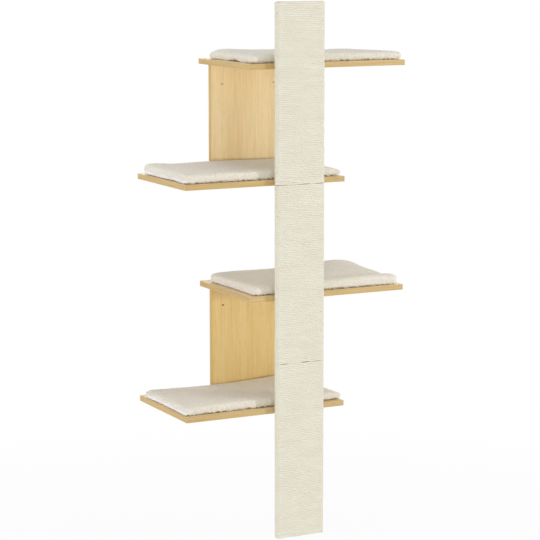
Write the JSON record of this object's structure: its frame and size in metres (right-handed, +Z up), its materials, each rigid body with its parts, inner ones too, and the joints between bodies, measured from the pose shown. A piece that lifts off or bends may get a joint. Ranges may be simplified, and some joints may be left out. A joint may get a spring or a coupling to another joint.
{
  "type": "wall mounted cat tree",
  "caption": "Wall mounted cat tree with staggered cushioned shelves, wall panels between them and a tall flat rope-wound scratching post at the front.",
  "frame": {"origin": "centre of the rectangle of the wall holes, on the wall plane", "axes": "+Z up, +Y into the wall, +X to the right as seen from the room"},
  "size_m": [0.668, 0.3397, 1.47],
  "materials": {
    "shelf_board": "satin melamine, light oak",
    "edging": "satin edging strip, oak",
    "panel_board": "satin melamine, light oak with upright grain",
    "post_board": "raw particle board",
    "rope": "pale natural rope",
    "plush": "curly sherpa fleece",
    "hook_tape": "hook tape",
    "loop_tape": "loop tape",
    "steel": "zinc plated",
    "dowel": "beech"
  },
  "bodies": {
    "frame": {"top_shelf": "shelf_board", "top_shelf_edging": "edging", "upper_shelf": "shelf_board", "upper_shelf_edging": "edging", "lower_shelf": "shelf_board", "lower_shelf_edging": "edging", "bottom_shelf": "shelf_board", "bottom_shelf_edging": "edging", "upper_wall_panel": "panel_board", "upper_panel_edging": "edging", "lower_wall_panel": "panel_board", "lower_panel_edging": "edging", "top_post_board": "post_board", "top_rope_cover": "rope", "top_rope_turns": "rope", "middle_post_board": "post_board", "middle_rope_cover": "rope", "middle_rope_turns": "rope", "bottom_post_board": "post_board", "bottom_rope_cover": "rope", "bottom_rope_turns": "rope", "top_hook_patches": "hook_tape", "upper_hook_patches": "hook_tape", "lower_hook_patches": "hook_tape", "bottom_hook_patches": "hook_tape", "shelf_brackets": "steel", "bracket_shelf_screws": "steel", "bracket_post_screws": "steel", "panel_screws": "steel", "panel_dowels": "dowel", "post_dowels": "dowel"},
    "top_pad": {"top_cushion": "plush", "top_loop_patches": "loop_tape"},
    "upper_pad": {"upper_cushion": "plush", "upper_loop_patches": "loop_tape"},
    "lower_pad": {"lower_cushion": "plush", "lower_loop_patches": "loop_tape"},
    "bottom_pad": {"bottom_cushion": "plush", "bottom_loop_patches": "loop_tape"}
  },
  "joints": [
    {"name": "top_cushion_lift", "type": "slide", "parent": "frame", "child": "top_pad", "axis": [0, 0, 1], "range_m": [0, 0.08]},
    {"name": "upper_cushion_lift", "type": "slide", "parent": "frame", "child": "upper_pad", "axis": [0, 0, 1], "range_m": [0, 0.08]},
    {"name": "lower_cushion_lift", "type": "slide", "parent": "frame", "child": "lower_pad", "axis": [0, 0, 1], "range_m": [0, 0.08]},
    {"name": "bottom_cushion_lift", "type": "slide", "parent": "frame", "child": "bottom_pad", "axis": [0, 0, 1], "range_m": [0, 0.08]}
  ]
}
